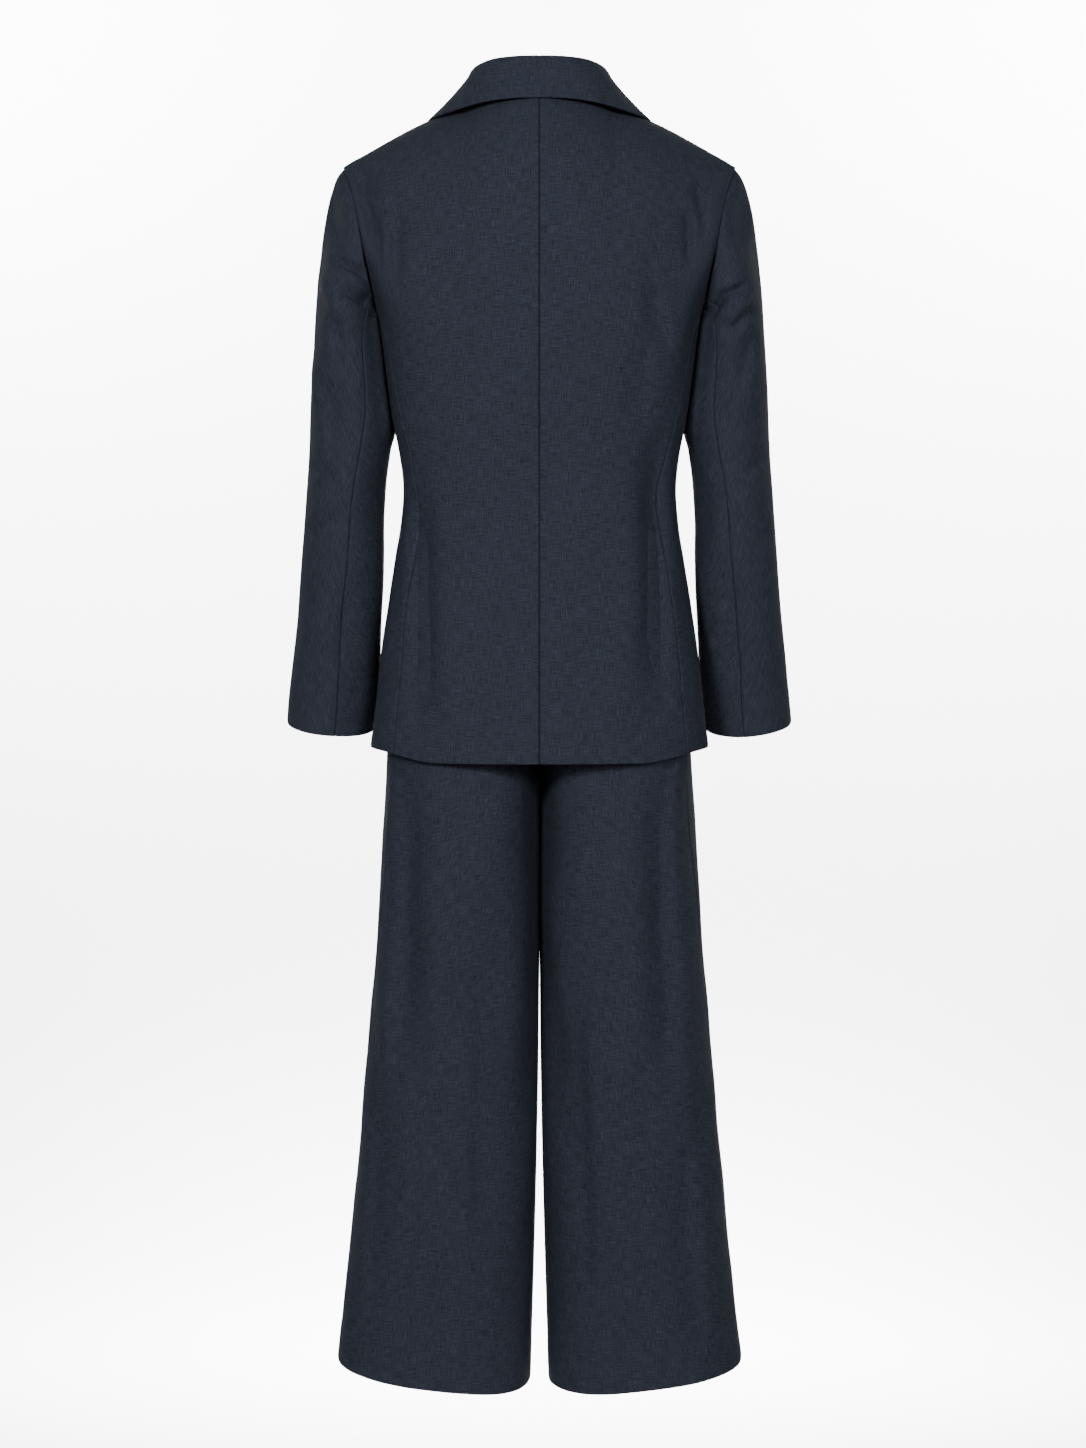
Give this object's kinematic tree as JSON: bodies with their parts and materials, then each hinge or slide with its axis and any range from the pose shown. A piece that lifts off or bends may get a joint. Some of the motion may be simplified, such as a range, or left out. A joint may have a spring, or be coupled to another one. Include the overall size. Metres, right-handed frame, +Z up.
{
  "type": "pantsuit",
  "caption": "Worn pantsuit: fitted single-breasted jacket with a notched collar and long sleeves, over full-length wide-leg trousers, hollow and open for a wearer.",
  "frame": {"origin": "inside the neck at mid-depth, level with the middle of the shoulder seams, where the suit hangs from its wearer's shoulders", "axes": "+Z up, the front faces -Y and the back +Y, +X towards the wearer's left"},
  "size_m": [0.5388, 0.2694, 1.3853],
  "materials": {
    "suit_cloth": "matt fine worsted with a faint heather",
    "button": "satin"
  },
  "bodies": {
    "root": {"collar_left": "suit_cloth", "collar_right": "suit_cloth", "jacket_back_left": "suit_cloth", "jacket_back_right": "suit_cloth", "jacket_front_left": "suit_cloth", "jacket_front_right": "suit_cloth", "jacket_side_left": "suit_cloth", "jacket_side_right": "suit_cloth", "lapel_left": "suit_cloth", "lapel_right": "suit_cloth", "sleeve_top_left": "suit_cloth", "sleeve_top_right": "suit_cloth", "sleeve_under_left": "suit_cloth", "sleeve_under_right": "suit_cloth", "trouser_back_left": "suit_cloth", "trouser_back_right": "suit_cloth", "trouser_front_left": "suit_cloth", "trouser_front_right": "suit_cloth", "waistband": "suit_cloth", "jacket_button": "button", "waistband_button": "button"}
  },
  "joints": []
}
